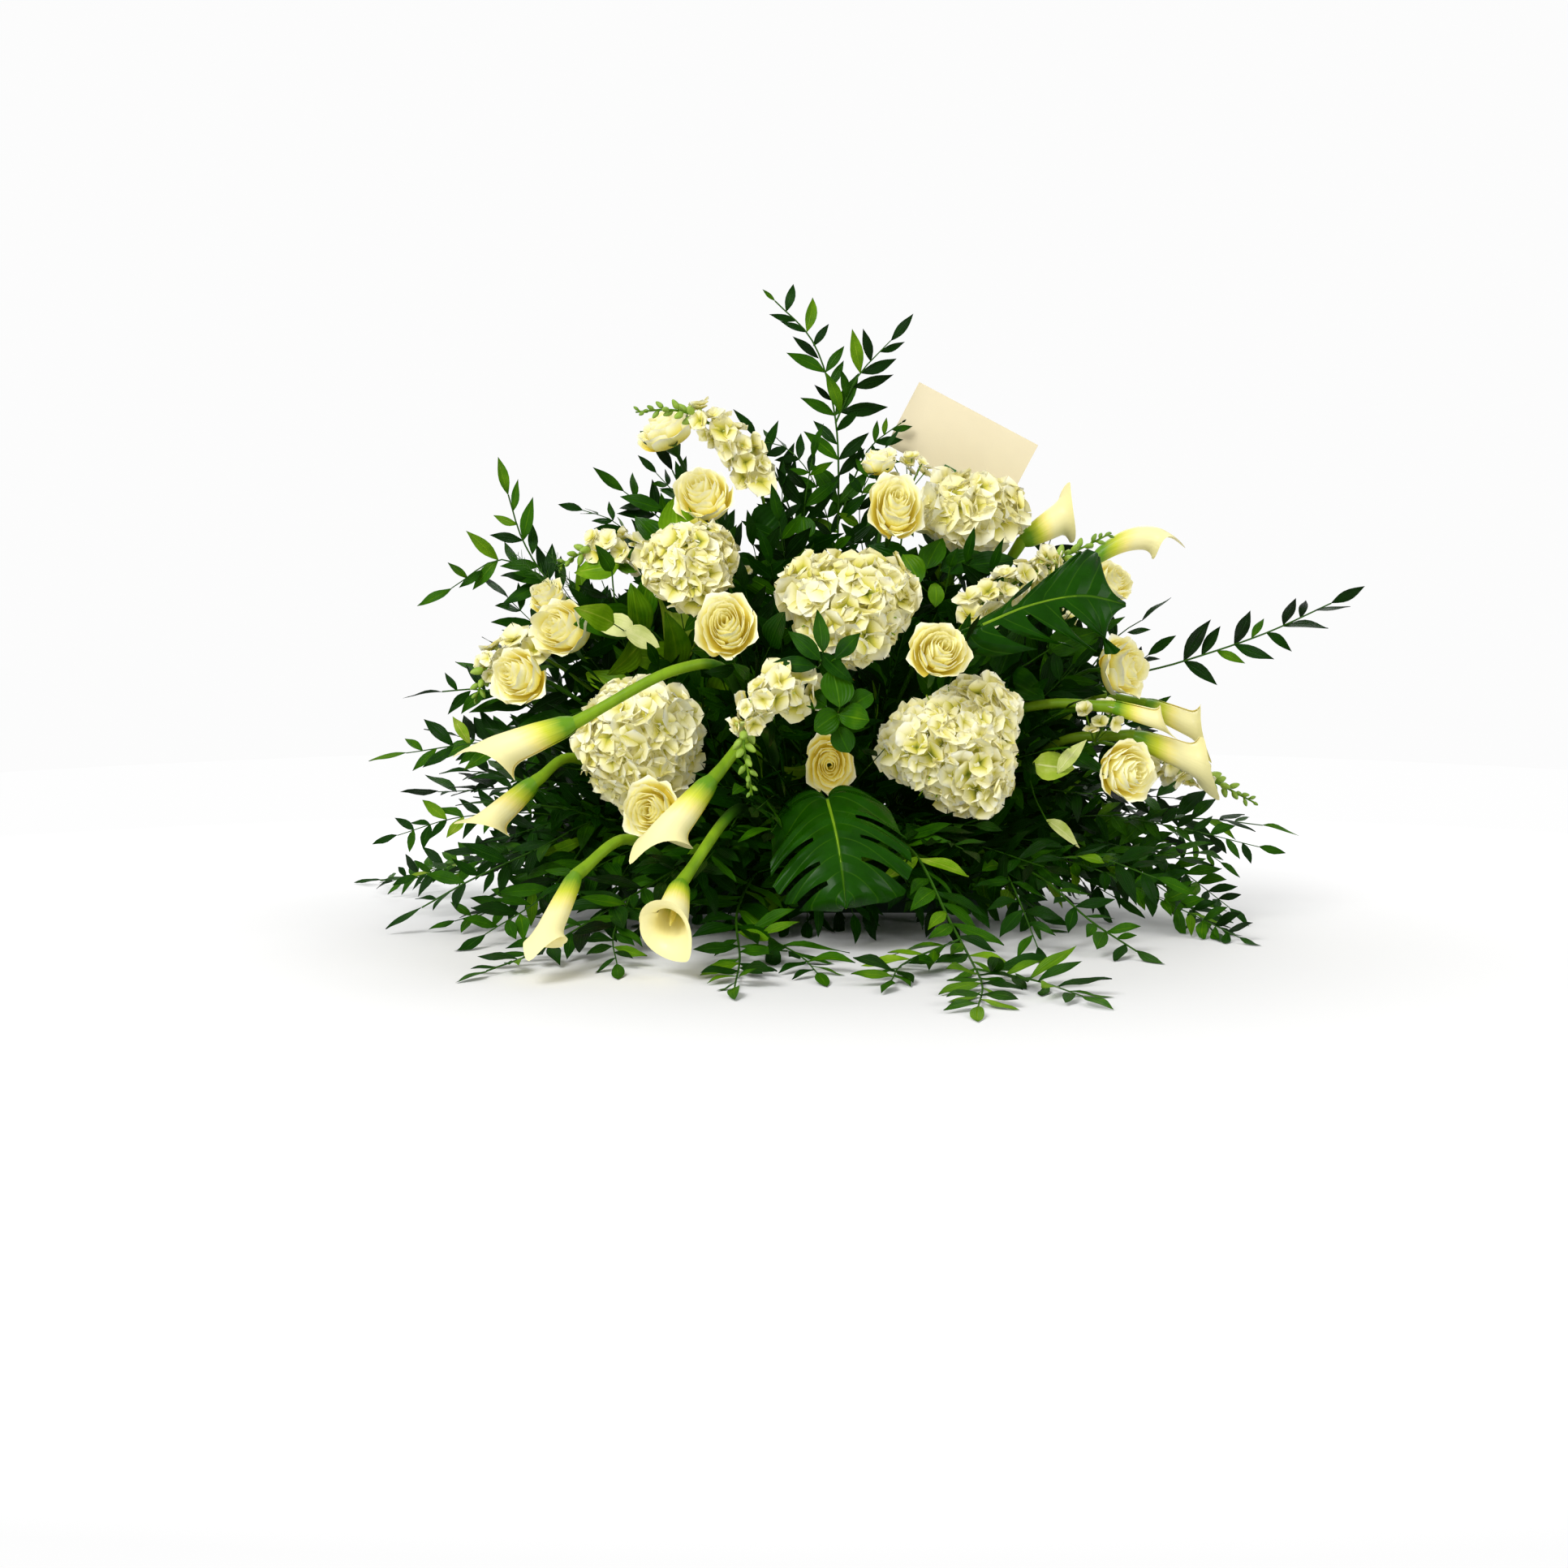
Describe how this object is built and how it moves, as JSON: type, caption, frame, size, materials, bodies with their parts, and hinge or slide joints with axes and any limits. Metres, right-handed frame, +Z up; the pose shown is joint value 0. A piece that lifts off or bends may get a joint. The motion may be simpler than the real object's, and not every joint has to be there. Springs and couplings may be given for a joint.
{
  "type": "casket spray",
  "caption": "Wide cream and green flower spray: roses, hydrangeas, callas, snapdragons and leafy stems in wet foam held by a flat saddle tray, with a blank card on a pick.",
  "frame": {"origin": "centre of the tray's flat underside", "axes": "+Z up, +X along the tray and the spray to its right as seen from the front, the front faces -Y"},
  "size_m": [1.2835, 0.9946, 0.7716],
  "materials": {
    "petal": "soft cream petal, matte",
    "calla": "cream spathe, satin",
    "leaf": "glossy green leaf",
    "spike": "cream and lime florets, matte",
    "foam": "wet floral foam, matte",
    "tray": "dark green moulded plastic",
    "card": "warm cream card, matte",
    "pick": "green moulded plastic"
  },
  "bodies": {
    "root": {"tray": "tray", "foam": "foam", "card": "card", "card_pick": "pick", "rose_1": "petal", "rose_2": "petal", "rose_3": "petal", "rose_4": "petal", "rose_5": "petal", "rose_6": "petal", "rose_7": "petal", "rose_8": "petal", "rose_9": "petal", "rose_10": "petal", "rose_11": "petal", "rose_12": "petal", "rose_13": "petal", "rose_14": "petal", "rose_15": "petal", "hydrangea_1": "petal", "hydrangea_2": "petal", "hydrangea_3": "petal", "hydrangea_4": "petal", "hydrangea_5": "petal", "hydrangea_6": "petal", "snapdragon_1": "spike", "snapdragon_2": "spike", "snapdragon_3": "spike", "snapdragon_4": "spike", "snapdragon_5": "spike", "snapdragon_6": "spike", "calla_1": "calla", "calla_2": "calla", "calla_3": "calla", "calla_4": "calla", "calla_5": "calla", "calla_6": "calla", "calla_7": "calla", "calla_8": "calla", "calla_9": "calla", "calla_10": "calla", "monstera_1": "leaf", "monstera_2": "leaf", "foliage_1": "leaf", "foliage_2": "leaf", "foliage_3": "leaf", "foliage_4": "leaf", "foliage_5": "leaf", "foliage_6": "leaf", "foliage_7": "leaf", "foliage_8": "leaf", "foliage_9": "leaf", "foliage_10": "leaf", "foliage_11": "leaf", "foliage_12": "leaf", "foliage_13": "leaf", "foliage_14": "leaf", "foliage_15": "leaf", "foliage_16": "leaf", "foliage_17": "leaf"}
  },
  "joints": []
}
